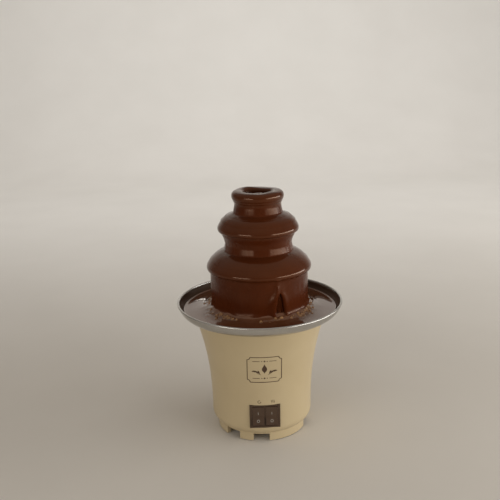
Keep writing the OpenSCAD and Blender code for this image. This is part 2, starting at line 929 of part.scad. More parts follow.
// A canopy with its sleeve, whose outer line is an ellipse above a skirt that turns in
module canopy(r, top, dome, seat_r) {
    mid = top - dome;
    wide = r - sleeve_r;
    rotate_extrude()
    polygon(concat(
        [[seat_r + fit_gap, top - sleeve_h], [sleeve_r, top - sleeve_h], [sleeve_r, top - canopy_t]],
        arc([sleeve_r, mid], wide - canopy_t, dome - canopy_t, 88, 0, 12),
        [[r - canopy_t - skirt_in, mid - skirt_h], [r - skirt_in, mid - skirt_h]],
        arc([sleeve_r, mid], wide, dome, 0, 90, 16),
        [[seat_r + fit_gap, top]]));
}

module lower_canopy() {
    color("SaddleBrown")
    canopy(lower_r, lower_top, lower_dome, tube_mid_r);
}

module upper_canopy() {
    color("SaddleBrown")
    canopy(upper_r, upper_top, upper_dome, tube_top_r);
}

module crown() {
    color("SaddleBrown")
    rotate_extrude()
    polygon([[tube_top_r + fit_gap, upper_top + 0.5], [tube_top_r + fit_gap + 2, upper_top + 0.5],
        [tube_top_r + fit_gap + 2, crown_top - 12.4], [crown_r - 0.7, crown_top - 7.4],
        [crown_r, crown_top - 6], [crown_r, crown_top - 4.2], [crown_r - 1.2, crown_top - 1.8],
        [crown_r - 3, crown_top - 0.4], [crown_r - 4.2, crown_top], [crown_r - 5.2, crown_top - 0.6],
        [bore_r + 1.6, crown_top - 7.6], [bore_r, crown_top - 8.6],
        [bore_r, tube_top], [tube_top_r + fit_gap, tube_top]]);
}

// The line of the coat's outside from a neck down over a tier to its curtain
function tier_outside(neck, r, top, dome, pull, end_z) =
    let (wide = r + coat_t, mid = top - dome, drip_r = r - drip_in, drip_z = mid - skirt_h - drip_h,
        foot = [neck + 2.6, top + 0.9], reach = wide - foot[0], rise = foot[1] - mid)
    concat(
        curve([neck, top + join_h], [neck, top + 2.2], [neck + 0.5, top + 1.4], foot, 6),
        curve(foot + [0.1, -0.02] * reach, foot + [0.43, -0.1] * reach,
            [wide, mid + 0.53 * rise], [wide, mid], 10),
        curve([wide, mid - 0.4], [wide, mid - 4], [drip_r + 0.4, drip_z + 2], [drip_r, drip_z], 6),
        [[drip_r - pull * 0.7, (drip_z + 2 * end_z) / 3], [drip_r - pull, end_z]]);

// The line of the coat's inside from a curtain up over the tier below the next curtain
function tier_inside(r, top, dome, from_r, from_z, next_r) =
    let (mid = top - dome, wide = r - sleeve_r + coat_gap, rest = acos((next_r - sleeve_r) / wide))
    concat(
        [[from_r, from_z], [r - drip_in - curtain_t, mid - skirt_h - coat_gap],
            [r - skirt_in + coat_gap, mid - skirt_h - coat_gap]],
        arc([sleeve_r, mid], wide, dome + coat_gap, 0, rest, 12));

module crown_coat() {
    crest_r = crown_r + coat_t;
    crest = crown_top + crest_t;
    color("Chocolate")
    rotate_extrude()
    polygon(concat(
        curve([bore_r + 0.5, crown_top - 6], [bore_r + 0.6, crest - 3],
            [crown_r - 8, crest - 1.4], [crown_r - 6.2, crest - 0.3], 8),
        curve([crown_r - 5.2, crest], [crown_r - 2, crest],
            [crest_r, crown_top - 1], [crest_r, crown_top - 5], 8),
        curve([crest_r, crown_top - 6], [crest_r, crown_top - 9],
            [neck_r, crown_top - 10], [neck_r, crown_top - 13.5], 6),
        [[neck_r, upper_top + join_h], [neck_r - curtain_t, upper_top + join_h],
            [neck_r - curtain_t, crown_top - 10], [crown_r - 0.7 + coat_gap, crown_top - 7.8],
            [crown_r + coat_gap, crown_top - 6.2], [crown_r + coat_gap, crown_top - 4],
            [crown_r - 0.9, crown_top - 1.6], [crown_r - 2.8, crown_top - 0.1],
            [crown_r - 4.2, crown_top + coat_gap], [crown_r - 5.5, crown_top - 0.3],
            [bore_r + 1.4, crown_top - 7.2], [bore_r + 0.5, crown_top - 7.8]]));
}

module upper_coat() {
    color("Chocolate")
    rotate_extrude()
    polygon(concat(
        tier_outside(neck_r, upper_r, upper_top, upper_dome, middle_pull, lower_top + join_h),
        tier_inside(upper_r, upper_top, upper_dome, fall_in, lower_top + join_h, neck_r - curtain_t),
        [[neck_r - curtain_t, upper_top + join_h]]));
}

module lower_coat() {
    color("Chocolate")
    difference() {
        rotate_extrude()
        polygon(concat(
            tier_outside(fall_r, lower_r, lower_top, lower_dome, 0, pool_z + coat_gap),
            tier_inside(lower_r, lower_top, lower_dome,
                lower_r - drip_in - curtain_t, pool_z + coat_gap, fall_in),
            [[fall_in, lower_top + join_h]]));
        at_azimuth(split_azimuth, lower_r / 2)
        rotate([90, 0, 90])
        linear_extrude(height = lower_r)
        polygon([[-split_w / 2, pool_z - 1], [split_w / 2, pool_z - 1],
            [split_w * 0.42, pool_z + split_h * 0.5], [split_w * 0.24, pool_z + split_h * 0.85],
            [0, pool_z + split_h], [-split_w * 0.24, pool_z + split_h * 0.85],
            [-split_w * 0.42, pool_z + split_h * 0.5]]);
    }
}

module chocolate_pool() {
    edge_z = rim_z - bead_r;
    tall = edge_z - top_z - sheet - coat_gap;
    wide = dish_w - sheet - coat_gap;
    rise = acos((edge_z - pool_z) / tall);
    corner = well_corner - sheet - coat_gap;
    color("Chocolate")
    rotate_extrude()
    polygon(concat(
        [[flange_r + coat_gap, bowl_floor + coat_gap]],
        arc([well_r - well_corner, bowl_under + well_corner], corner, corner, -90, 0, 8),
        [[well_r - sheet - coat_gap, top_z - 2 + sheet]],
        arc([well_r + 2, top_z - 2 + sheet], 3 + coat_gap, 2 + coat_gap, 180, 90, 5),
        arc([shoulder_r, edge_z], wide, tall, -90, -90 + rise, 10),
        [[flange_r + coat_gap, pool_z]]));
}

housing();
base_plate();
foot_pads();
base_screws();
cord_gland();
switch_frame();
motor_rocker();
heat_rocker();
switch_terminals();
bowl();
bowl_studs();
bowl_nuts();
tower_pins();
bowl_bush();
bush_nut();
shaft_seal();
heater_ring();
heater_clamp();
heater_nuts();
thermostat();
gear_cover();
gear_case();
hang_screws();
lower_bush();
idler_axle();
motor_can();
motor_magnets();
motor_cap();
motor_terminals();
motor_screws();
drive_shaft();
output_gear();
idler_gear();
motor_shaft();
armature();
motor_pinion();
auger();
tower_tube();
lower_canopy();
upper_canopy();
crown();
crown_coat();
upper_coat();
lower_coat();
chocolate_pool();
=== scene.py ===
"""Looks for a table chocolate fountain, in millimetres in the CAD frame. The stage is in metres."""

import json
import math
import random
from types import SimpleNamespace

import bmesh
import bpy
import numpy as np
from mathutils import Matrix, Vector, noise


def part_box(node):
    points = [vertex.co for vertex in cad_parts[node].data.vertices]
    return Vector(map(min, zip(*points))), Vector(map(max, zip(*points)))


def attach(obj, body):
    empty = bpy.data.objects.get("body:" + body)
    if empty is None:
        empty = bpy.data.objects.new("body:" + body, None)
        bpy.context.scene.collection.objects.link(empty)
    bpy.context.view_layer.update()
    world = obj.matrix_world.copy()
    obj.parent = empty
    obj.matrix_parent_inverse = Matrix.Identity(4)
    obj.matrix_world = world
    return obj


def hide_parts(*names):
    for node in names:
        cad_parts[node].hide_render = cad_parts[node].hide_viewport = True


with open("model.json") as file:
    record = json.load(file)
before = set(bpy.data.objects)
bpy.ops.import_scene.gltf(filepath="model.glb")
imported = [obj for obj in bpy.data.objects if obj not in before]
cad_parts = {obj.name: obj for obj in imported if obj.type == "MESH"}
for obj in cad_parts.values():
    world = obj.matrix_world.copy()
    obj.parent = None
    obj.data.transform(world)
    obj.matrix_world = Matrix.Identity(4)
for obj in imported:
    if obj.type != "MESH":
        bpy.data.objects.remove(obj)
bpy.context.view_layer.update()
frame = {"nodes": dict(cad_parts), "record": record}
nodes = frame["nodes"]
MM = 0.001


def bottom_of(node):
    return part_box(node)[0][2] / MM


def top_of(node):
    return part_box(node)[1][2] / MM


def tier(node, r, dome):
    """A canopy's radius, its top, and the height of its widest place."""
    top = top_of(node)
    return SimpleNamespace(r=r, top=top, mid=top - dome)


# Heights from the frame
TOP_Z = top_of("housing")
RIM_Z = top_of("bowl")
BOWL_UNDER = bottom_of("bowl")
POOL_Z = top_of("chocolate_pool")
CROWN_TOP = top_of("crown")
SWITCH_Z = (top_of("switch_frame") + bottom_of("switch_frame")) / 2

# The housing's wall, as in the CAD source
BELLY_R = 50.5
BELLY_Z = 18.2
TOP_R = 65.5
FLARE = 2.4
WALL = 2.2

# The bowl, as in the CAD source
RIM_R = 82.0
BEAD_R = 1.1
SHEET = 1.0
SHOULDER_R = TOP_R + 0.5
WELL_CORNER = 8.0
WELL_GAP = 1.4
WELL_EDGE_IN = 2.0
BUSH_R = 6.0
BOWL_FLOOR = BOWL_UNDER + SHEET

# Where the bowl differs from its solid: a rounded edge under the shoulder, and a wider hole for the bush
WELL_EDGE = 1.2
HOLE_R = BUSH_R + 0.1

# The tower, as in the CAD source
BORE_R = 13.0
FLANGE_R = 19.4
CROWN_R = 22.6
SKIRT_H = 4.8
LOWER = tier("lower_canopy", r=49.5, dome=13.0)
UPPER = tier("upper_canopy", r=37.6, dome=11.5)

# The chocolate on the tower, as in the CAD source
COAT = 2.2
CREST = 2.5
CURTAIN = 2.2
DRIP_IN = 1.5
PULL = 3.4
CURTAIN_R = LOWER.r - DRIP_IN
CURTAIN_FOOT = POOL_Z + 0.3

# The split in the lowest curtain, which stands nearer the front than the solid's slot and is taller
SPLIT_AZ = 20.4
SPLIT_W = 9.6
SPLIT_H = 26.5

# The rockers, as in the CAD source: pivot, angle at rest, and the face that rises to both ends
PIVOT_Y = -46.898
ROCKER_X = 6.6
ROCKER_TILT = 9.0
FACE_OUT = 3.4
FACE_RISE = 1.7
FACE_HALF = 12.0

# Fineness of the meshes
BOWL_COLUMNS = 256
COAT_COLUMNS = 320
COAT_STEP = 0.68
POOL_COLUMNS = 600
SAME_POINT = 1e-6


def housing_r(z):
    rise = max(0.0, z - BELLY_Z) / (TOP_Z - BELLY_Z)
    return BELLY_R + (TOP_R - BELLY_R) * rise ** FLARE


WELL_R = housing_r(BOWL_UNDER + WELL_CORNER) - WALL - WELL_GAP

# Lines, weights and meshes


def arc(cx, cz, rx, rz, a0, a1, steps):
    """Points along an ellipse, from angle a0 to a1 in degrees."""
    angles = [math.radians(a0 + (a1 - a0) * i / steps) for i in range(steps + 1)]
    return [(cx + rx * math.cos(a), cz + rz * math.sin(a)) for a in angles]


def near(r, z, *offsets):
    """Points given by their distances from one place."""
    return [(r + dr, z + dz) for dr, dz in offsets]


def curve(controls, steps):
    """Points along a cubic curve with four control points."""
    out = []
    for i in range(steps + 1):
        t = i / steps
        s = 1 - t
        weights = (s * s * s, 3 * s * s * t, 3 * s * t * t, t * t * t)
        out.append(tuple(sum(w * p[axis] for w, p in zip(weights, controls)) for axis in (0, 1)))
    return out


def even(points, step):
    """The same line with points about one step apart."""
    p = np.array(points, float)
    keep = [0] + [i for i in range(1, len(p)) if np.linalg.norm(p[i] - p[i - 1]) > SAME_POINT]
    p = p[keep]
    d = np.concatenate([[0], np.cumsum(np.linalg.norm(np.diff(p, axis=0), axis=1))])
    n = max(2, int(round(d[-1] / step)) + 1)
    s = np.linspace(0, d[-1], n)
    return np.stack([np.interp(s, d, p[:, 0]), np.interp(s, d, p[:, 1])], 1)


def smooth(t):
    """A soft step from 0 to 1."""
    t = np.clip(t, 0, 1)
    return t * t * (3 - 2 * t)


def bell(x, centre, width):
    """A weight that is 1 at the centre and fades to both sides."""
    return math.exp(-((x - centre) / width) ** 2)


def turns(count):
    """Angles evenly spaced all the way round, in radians."""
    return [2 * math.pi * i / count for i in range(count)]


def around(r, a, z):
    """The place at a radius, an angle from the front in radians, and a height."""
    return (r * math.sin(a), -r * math.cos(a), z)


def bumps(az, scale, seed, along=0.0):
    """Smooth noise from -1 to 1, at an angle in degrees round the axis and a place along it."""
    seed_step = 7.31
    return noise.noise(Vector(around(scale, math.radians(az), along + seed * seed_step)))


def strips(columns, n, rows, wrap=False, start=0):
    """Quads between neighbouring columns of n points, from each of the rows to the next row."""
    faces = []
    for c in range(columns if wrap else columns - 1):
        a, b = start + c * n, start + (c + 1) % columns * n
        for k in rows:
            m = (k + 1) % n
            faces.append((a + k, a + m, b + m, b + k))
    return faces


def mesh_object(name, verts, faces, body, mat, sharp_angle):
    """A smooth piece that rides on a body, with sharp edges where faces meet at more than an angle."""
    mesh = bpy.data.meshes.new(name)
    mesh.from_pydata([tuple(float(x) * MM for x in v) for v in verts], [], faces)
    mesh.validate()
    b = bmesh.new()
    b.from_mesh(mesh)
    bmesh.ops.remove_doubles(b, verts=b.verts, dist=SAME_POINT)
    bmesh.ops.recalc_face_normals(b, faces=b.faces)
    b.to_mesh(mesh)
    b.free()
    mesh.polygons.foreach_set("use_smooth", [True] * len(mesh.polygons))
    mesh.set_sharp_from_angle(angle=math.radians(sharp_angle))
    obj = bpy.data.objects.new(name, mesh)
    bpy.context.scene.collection.objects.link(obj)
    obj.data.materials.append(mat)
    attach(obj, body)
    return obj


# Materials


def new_material(name):
    m = bpy.data.materials.new(name)
    m.use_nodes = True
    tree = m.node_tree
    return m, tree, tree.nodes["Principled BSDF"]


def link(tree, a, b):
    tree.links.new(a, b)


def add(tree, kind, **values):
    n = tree.nodes.new(kind)
    for k, v in values.items():
        if k in n.inputs:
            n.inputs[k].default_value = v
        else:
            setattr(n, k, v)
    return n


def noise_from(tree, vector, scale, detail, rough=0.5):
    n = add(tree, "ShaderNodeTexNoise", Scale=scale, Detail=detail, Roughness=rough)
    link(tree, vector, n.inputs["Vector"])
    return n.outputs["Fac"]


def ramp_between(tree, fac, dark, light, low=0.3, high=0.7):
    r = add(tree, "ShaderNodeValToRGB")
    for stop, position, colour in zip(r.color_ramp.elements, (low, high), (dark, light)):
        stop.position = position
        stop.color = (*colour, 1)
    link(tree, fac, r.inputs["Fac"])
    return r.outputs["Color"]


def remap(tree, fac, low, high, lo_in=0.3, hi_in=0.7):
    r = add(tree, "ShaderNodeMapRange")
    for k, v in zip(("From Min", "From Max", "To Min", "To Max"), (lo_in, hi_in, low, high)):
        r.inputs[k].default_value = v
    link(tree, fac, r.inputs["Value"])
    return r.outputs["Result"]


def bump(tree, bsdf, height, strength, distance):
    b = add(tree, "ShaderNodeBump", Strength=strength, Distance=distance)
    link(tree, height, b.inputs["Height"])
    link(tree, b.outputs["Normal"], bsdf.inputs["Normal"])


def plain_coords(tree):
    return add(tree, "ShaderNodeTexCoord").outputs["Object"]


def turned_coords(tree, scale):
    """Coordinates that are the same all the way round Z, for marks left by turning or spinning."""
    xyz = add(tree, "ShaderNodeSeparateXYZ")
    link(tree, plain_coords(tree), xyz.inputs[0])
    both = add(tree, "ShaderNodeCombineXYZ")
    link(tree, xyz.outputs["X"], both.inputs["X"])
    link(tree, xyz.outputs["Y"], both.inputs["Y"])
    length = add(tree, "ShaderNodeVectorMath", operation="LENGTH")
    link(tree, both.outputs[0], length.inputs[0])
    out = add(tree, "ShaderNodeCombineXYZ")
    for source, axis in ((length.outputs["Value"], "X"), (xyz.outputs["Z"], "Z")):
        m = add(tree, "ShaderNodeMath", operation="MULTIPLY")
        m.inputs[1].default_value = scale
        link(tree, source, m.inputs[0])
        link(tree, m.outputs[0], out.inputs[axis])
    return out.outputs[0]


def plastic(name, light, dark, rough, grain=2200, depth=0.00004, patch=22, specular=0.5):
    m, t, s = new_material(name)
    v = plain_coords(t)
    cloud = noise_from(t, v, scale=patch, detail=4)
    link(t, ramp_between(t, cloud, dark, light, low=0.35, high=0.65), s.inputs["Base Color"])
    link(t, remap(t, noise_from(t, v, scale=90, detail=5), *rough), s.inputs["Roughness"])
    s.inputs["Specular IOR Level"].default_value = specular
    bump(t, s, noise_from(t, v, scale=grain, detail=2), strength=0.25, distance=depth)
    return m


def metal(name, light, dark, rough, turned=True, streak=900):
    m, t, s = new_material(name)
    v, scale = (turned_coords(t, streak), 1.0) if turned else (plain_coords(t), streak)
    fine = noise_from(t, v, scale, detail=6, rough=0.65)
    cloud = noise_from(t, plain_coords(t), scale=35, detail=4)
    link(t, ramp_between(t, cloud, dark, light), s.inputs["Base Color"])
    mix = add(t, "ShaderNodeMath", operation="ADD")
    link(t, remap(t, fine, *rough, lo_in=0.25, hi_in=0.75), mix.inputs[0])
    link(t, remap(t, cloud, low=-0.03, high=0.03), mix.inputs[1])
    link(t, mix.outputs[0], s.inputs["Roughness"])
    s.inputs["Metallic"].default_value = 1.0
    bump(t, s, fine, strength=0.2, distance=0.00002)
    return m


def chocolate(name, light, dark, rough, specular, coat=0.0, patch=30):
    m, t, s = new_material(name)
    v = plain_coords(t)
    cloud = noise_from(t, v, scale=patch, detail=5, rough=0.6)
    link(t, ramp_between(t, cloud, dark, light), s.inputs["Base Color"])
    link(t, remap(t, noise_from(t, v, scale=55, detail=4), *rough), s.inputs["Roughness"])
    s.inputs["IOR"].default_value = 1.48
    s.inputs["Specular IOR Level"].default_value = specular
    s.inputs["Specular Tint"].default_value = (1.0, 0.66, 0.46, 1)
    s.inputs["Coat Weight"].default_value = coat
    s.inputs["Coat Roughness"].default_value = 0.05
    bump(t, s, noise_from(t, v, scale=160, detail=3), strength=0.03, distance=0.0003)
    return m


PLASTICS = {
    "cream_plastic": dict(light=(0.62, 0.500, 0.305), dark=(0.59, 0.470, 0.282), rough=(0.30, 0.42)),
    "brown_plastic": dict(light=(0.084, 0.048, 0.028), dark=(0.068, 0.038, 0.022), rough=(0.28, 0.40)),
    "white_nylon": dict(light=(0.72, 0.70, 0.64), dark=(0.68, 0.66, 0.60), rough=(0.40, 0.52)),
    "black_plastic": dict(light=(0.036, 0.035, 0.034), dark=(0.026, 0.026, 0.026), rough=(0.40, 0.55)),
    "rubber": dict(
        light=(0.045, 0.045, 0.045), dark=(0.032, 0.032, 0.033), rough=(0.62, 0.80),
        grain=1500, depth=0.00008,
    ),
    "mica": dict(
        light=(0.36, 0.25, 0.13), dark=(0.26, 0.17, 0.08), rough=(0.38, 0.60), grain=700, patch=60,
    ),
    "chocolate_film": dict(
        light=(0.105, 0.058, 0.032), dark=(0.080, 0.042, 0.022), rough=(0.40, 0.54), specular=0.12,
    ),
    "brown_ink": dict(light=(0.085, 0.045, 0.024), dark=(0.065, 0.034, 0.018), rough=(0.40, 0.52)),
    "mark_white": dict(light=(0.40, 0.36, 0.31), dark=(0.34, 0.31, 0.27), rough=(0.42, 0.55)),
}
METALS = {
    "steel": dict(light=(0.57, 0.555, 0.53), dark=(0.49, 0.475, 0.45), rough=(0.16, 0.30)),
    "zinc": dict(
        light=(0.62, 0.62, 0.60), dark=(0.50, 0.50, 0.49), rough=(0.28, 0.45), turned=False, streak=500,
    ),
    "brass": dict(
        light=(0.74, 0.55, 0.26), dark=(0.62, 0.44, 0.19), rough=(0.22, 0.38), turned=False, streak=700,
    ),
    "copper": dict(light=(0.55, 0.24, 0.11), dark=(0.42, 0.17, 0.08), rough=(0.30, 0.42), streak=1600),
    "magnet": dict(light=(0.10, 0.10, 0.10), dark=(0.07, 0.07, 0.07), rough=(0.50, 0.70), turned=False),
}
CHOCOLATES = {
    "chocolate": dict(
        light=(0.087, 0.0208, 0.0060), dark=(0.067, 0.0152, 0.0042), rough=(0.12, 0.19), specular=0.46,
    ),
    "falling_chocolate": dict(
        light=(0.090, 0.0195, 0.0053), dark=(0.066, 0.0132, 0.0034), rough=(0.22, 0.30), specular=0.24,
    ),
    # The pool's chocolate is lighter and more orange than the tower's: over its own brown, a painted
    # reflection of the curtain.
    "still_chocolate": dict(
        light=(0.155, 0.057, 0.025), dark=(0.130, 0.047, 0.020), rough=(0.05, 0.10),
        specular=0.42, coat=0.72,
    ),
    # Froth on the bubbles: its light colour, spread in a fine noise, is painted glints, golden sparkle
    # that no lamp puts there.
    "froth_with_painted_glints": dict(
        light=(0.46, 0.25, 0.110), dark=(0.10, 0.036, 0.012), rough=(0.07, 0.14), specular=0.9, patch=420,
    ),
}
mats = {}
for kind, looks in ((plastic, PLASTICS), (metal, METALS), (chocolate, CHOCOLATES)):
    mats.update({name: kind(name, **look) for name, look in looks.items()})

for part in frame["record"]["subparts"]:
    data = nodes[part["node"]].data
    data.materials.clear()
    data.materials.append(mats[part["material_slot"]])

# The bowl, with a finer line than its solid


def bowl_outline():
    edge = RIM_Z - BEAD_R
    wide, tall = RIM_R - BEAD_R - SHOULDER_R, edge - TOP_Z
    corner_r, corner_z, corner_in = WELL_R - WELL_CORNER, BOWL_UNDER + WELL_CORNER, WELL_CORNER - SHEET
    inner_edge_z = TOP_Z - WELL_EDGE_IN + SHEET
    return (
        [(HOLE_R, BOWL_UNDER)]
        + arc(corner_r, corner_z, WELL_CORNER, WELL_CORNER, -90, 0, 16)
        + arc(WELL_R + WELL_EDGE, TOP_Z - WELL_EDGE, WELL_EDGE, WELL_EDGE, 180, 90, 6)
        + arc(SHOULDER_R, edge, wide, tall, -90, -4, 40)
        + arc(RIM_R - BEAD_R, edge, BEAD_R, BEAD_R, -75, 195, 20)
        + arc(SHOULDER_R, edge, wide - SHEET, tall - SHEET, -6, -90, 40)
        + arc(WELL_R + WELL_EDGE_IN, inner_edge_z, WELL_EDGE_IN + SHEET, WELL_EDGE_IN, 90, 180, 8)
        + arc(corner_r, corner_z, corner_in, corner_in, 0, -90, 16)
        + [(HOLE_R, BOWL_FLOOR)]
    )


def build_bowl():
    outline = bowl_outline()
    n = len(outline)
    verts = [around(r, a, z) for a in turns(BOWL_COLUMNS) for r, z in outline]
    faces = strips(BOWL_COLUMNS, n, range(n), wrap=True)
    bowl = mesh_object("steel_bowl", verts, faces, "base", mats["steel"], sharp_angle=40)
    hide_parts("bowl")


build_bowl()

# The chocolate on the tower


def tier_outside(part, neck_r, pull, end_z):
    """From a neck down over a tier, round its overhanging lip and down the curtain."""
    top, mid = part.top, part.mid
    wide, fall = part.r + COAT, part.r - DRIP_IN
    foot_r, foot_z = neck_r + 3.4, top + 0.65
    reach, halfway = wide - foot_r, (mid + end_z) / 2
    neck = near(neck_r, top, (-0.1, 8.5), (0.1, 7), (0.7, 4), (1.05, 2.3))
    neck_foot = near(neck_r, top, (1.1, 2.1), (1.3, 1.4), (2.3, 1.1)) + [(foot_r, foot_z)]
    dome = near(foot_r, foot_z, (0, 0), (0.43 * reach, -0.18 * reach))
    dome += near(wide, mid, (-3, 5.4), (-0.6, 0))
    lip = near(wide, mid, (-0.55, -0.1), (-0.05, -1.2), (0.1, -4.1), (-1.5, -4.6))
    tuck = near(wide, mid, (-1.8, -4.6), (-2.7, -4.5)) + near(fall, mid, (0.5, -4.3), (0.2, -6))
    curtain = near(fall, mid, (0, -6.4), (-0.25 * pull, -9.5))
    curtain += [(fall - 0.75 * pull, halfway - 2), (fall - pull, end_z)]
    return (
        curve(neck, 16) + curve(neck_foot, 10) + curve(dome, 40)
        + curve(lip, 16) + curve(tuck, 12) + curve(curtain, 40)
    )


def coat_outside():
    """From the crown's mouth over its crest, and down over both tiers to the pool."""
    wide, neck_r, crest = CROWN_R + COAT + 0.6, CROWN_R + 0.2, CROWN_TOP + CREST
    mouth = near(BORE_R, crest, (-0.1, -8.4), (-0.1, -4), (0.4, -2.4), (1.6, -1.2))
    inner_lip = near(BORE_R, crest, (1.9, -1), (3, -0.2)) + near(wide, crest, (-9, 0), (-8.2, 0))
    shoulder = near(wide, crest, (-7.8, 0), (-3, 0), (0, -2.6), (0, -5.8))
    side = near(wide, crest, (0, -6.2), (0, -8), (-0.7, -9), (-1.1, -9.6))
    under = near(wide, crest, (-1.3, -9.8), (-1.5, -10.6), (-1.6, -11.2), (-1.9, -11.6))
    throat = near(wide, crest, (-2.1, -11.8), (-2.4, -12.4))
    throat += near(neck_r, crest, (-0.1, -13), (-0.1, -15.4))
    line = (
        curve(mouth, 14) + curve(inner_lip, 10) + curve(shoulder, 18)
        + curve(side, 12) + curve(under, 10) + curve(throat, 8)
        + tier_outside(UPPER, neck_r, PULL, LOWER.top + 8.5)
        + tier_outside(LOWER, UPPER.r - DRIP_IN - PULL, 0, CURTAIN_FOOT)
    )
    return even(line, COAT_STEP)


def coat_inside():
    """From the foot of the lowest curtain up, and over the tiers at a small distance."""
    curtain_in, skirt = CURTAIN_R - CURTAIN, SKIRT_H + 0.4
    return (
        [(curtain_in, CURTAIN_FOOT), (curtain_in, LOWER.mid - skirt)]
        + near(LOWER.r, LOWER.mid, (-0.6, -skirt), (0.5, -1), (-1.4, 5))
        + near(LOWER.r, LOWER.top, (-7, -3))
        + near(UPPER.r, LOWER.top, (-6.4, -0.8), (-6.2, 4))
        + near(UPPER.r, UPPER.mid, (-3.7, -skirt), (-0.6, -skirt), (0.5, -1))
        + near(UPPER.r, UPPER.top, (-1.4, -5.6), (-6, -1.5))
        + near(CROWN_R, UPPER.top, (-2, 0.6))
        + near(CROWN_R, CROWN_TOP, (-2, -10), (-0.4, -7.8), (0.3, -6.2), (0.3, -4))
        + near(CROWN_R, CROWN_TOP, (-0.9, -1.6), (-2.8, -0.1), (-4.2, 0.3), (-5.5, -0.3))
        + near(BORE_R, CROWN_TOP, (1.4, -7.2), (0.5, -7.9))
    )


def half_gap(z):
    """Half the angle of the split in the lowest curtain at a height, in degrees. Its top is an arch."""
    steep, pointed = 2.4, 0.8
    t = (z - POOL_Z) / SPLIT_H
    if t >= 1:
        return 0.0
    width = SPLIT_W * (1 - max(0.0, t) ** steep) ** pointed
    return math.degrees(width / 2 / CURTAIN_R)


def folds(az, z):
    """How far the upright folds of the three curtains stand out."""
    fade_in, fade_out, deep, sink = 8, 6, 0.75, 0.15
    drift_deg, fine_part = 6, 0.45
    shift = 0.0
    for top, bottom, strength in (
        (LOWER.mid - 9, POOL_Z, 1.0),
        (UPPER.mid - 8, LOWER.top + 2, 0.55),
        (CROWN_TOP - 8, UPPER.top + 2, 0.4),
    ):
        weight = strength * float(smooth((top - z) / fade_in) * smooth((z - bottom + fade_out) / fade_out))
        if weight > 0:
            drift = drift_deg * bumps(az, scale=1.3, seed=5, along=0.02 * z)
            broad = bumps(az + drift, scale=3.4, seed=2, along=0.004 * z)
            fine = bumps(az + drift, scale=7.5, seed=3, along=0.006 * z)
            shift += weight * (deep * (broad + fine_part * fine) - sink)
    return shift


def foot_flare(az, z):
    """How far the lowest curtain spreads where it lands in the pool."""
    full_h, end_h, most, fall_off = 5.0, 11.0, 1.5, 1.8
    if z >= POOL_Z + end_h:
        return 0.0
    flow = max(0.0, 0.6 + 0.7 * bumps(az, scale=4.5, seed=6, along=0.2))
    return flow * most * math.exp(-max(0.0, z - POOL_Z - full_h) / fall_off)


def split_edges(az, r, z):
    """How far the curtain swells beside the split, with a ridge that sweeps down on its left."""
    reach_up, reach_in = 14, 6
    swell_h, swell_at, swell_w, swell_over, swell_fade = 1.3, 2.5, 3.2, 12, 16
    ridge_h, ridge_w, ridge_over, ridge_gap, ridge_lean = 1.5, 3.4, 8, 3, 9
    above = z - POOL_Z - SPLIT_H
    if above >= reach_up or r <= LOWER.r - reach_in:
        return 0.0
    off, gap = (az - SPLIT_AZ + 180) % 360 - 180, half_gap(z)
    swell = float(smooth((swell_over - above) / swell_fade)) * bell(abs(off) - gap, swell_at, swell_w)
    t = min(1.0, max(0.0, (z - POOL_Z) / (SPLIT_H + ridge_over)))
    ridge_at = -gap - ridge_gap - ridge_lean * (1 - t) ** 1.2
    ridge = float(smooth(2.6 * t - 0.7) * smooth(3.5 - 3 * t)) * bell(off, ridge_at, ridge_w)
    return swell_h * swell + ridge_h * ridge


def coat_point(az, r, z, lip, in_mouth):
    """Where a point of the plain turned line lies on the running chocolate. The lip is 1 at the crest."""
    lip_drop, lip_wave, mouth_wave, sway_h = 1.1, 0.95, 0.5, 0.22
    drip_h, drip_w, drip_under, flare_room = 0.55, 2.6, 1.6, 12
    wave = 0.9 * bumps(az, scale=1.3, seed=8) + 0.35 * math.cos(math.radians(2 * az + 40))
    if in_mouth:
        shift = -mouth_wave * lip * wave
    else:
        sway = sway_h * bumps(az, scale=1.6, seed=1, along=0.035 * z)
        shift = sway + folds(az, z) + foot_flare(az, z) + split_edges(az, r, z)
    moved = r + shift
    if r > LOWER.r - 1 and z > POOL_Z + flare_room:
        moved = min(moved, max(r, LOWER.r + COAT))
    drips = sum(bell(z, part.mid - SKIRT_H - drip_under, drip_w) for part in (LOWER, UPPER))
    uneven = drip_h * drips * bumps(az, scale=1.8, seed=9, along=0.5)
    return moved, z - lip * (lip_drop + lip_wave * wave) + uneven


def build_coat():
    """Columns from one side of the split round to the other, each down the outside and up the inside."""
    crest_rows, curtain_from = 8.1, LOWER.r - 8
    out, inside = coat_outside(), coat_inside()
    low = [i for i, (r, z) in enumerate(out) if z < POOL_Z + SPLIT_H + 0.5 and r > curtain_from][::-1]
    rows = [tuple(p) for p in out] + [(inside[0][0], out[i][1]) for i in low] + inside[1:]
    n_out, n = len(out), len(rows)
    crest_at = int(np.argmax(out[:, 1]))
    verts = []
    for c in range(COAT_COLUMNS + 1):
        for k, (r, z) in enumerate(rows):
            gap = half_gap(z) if r > curtain_from else 0.0
            az = SPLIT_AZ + gap + (360 - 2 * gap) * (c / COAT_COLUMNS)
            if k < n_out:
                r, z = coat_point(az, r, z, bell(k, crest_at, crest_rows), k < crest_at)
            verts.append(around(r, math.radians(az), z))
    faces = strips(COAT_COLUMNS + 1, n, range(n))
    for j, (a, b) in enumerate(zip(low, low[1:])):
        for first in (0, COAT_COLUMNS * n):
            faces.append((first + a, first + b, first + n_out + j + 1, first + n_out + j))
    obj = mesh_object("running_chocolate", verts, faces, "tower", mats["chocolate"], sharp_angle=75)
    obj.data.materials.append(mats["falling_chocolate"])
    lip_h, foot_h, crown_h = 6.2, 1.3, 11.5
    for p in obj.data.polygons:
        z = p.center.z / MM
        lowest = z < LOWER.mid - lip_h
        middle = LOWER.top + foot_h < z < UPPER.mid - lip_h
        highest = UPPER.top + foot_h < z < CROWN_TOP - crown_h
        p.material_index = int(lowest or middle or highest)
    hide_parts("crown_coat", "upper_coat", "lower_coat")


build_coat()


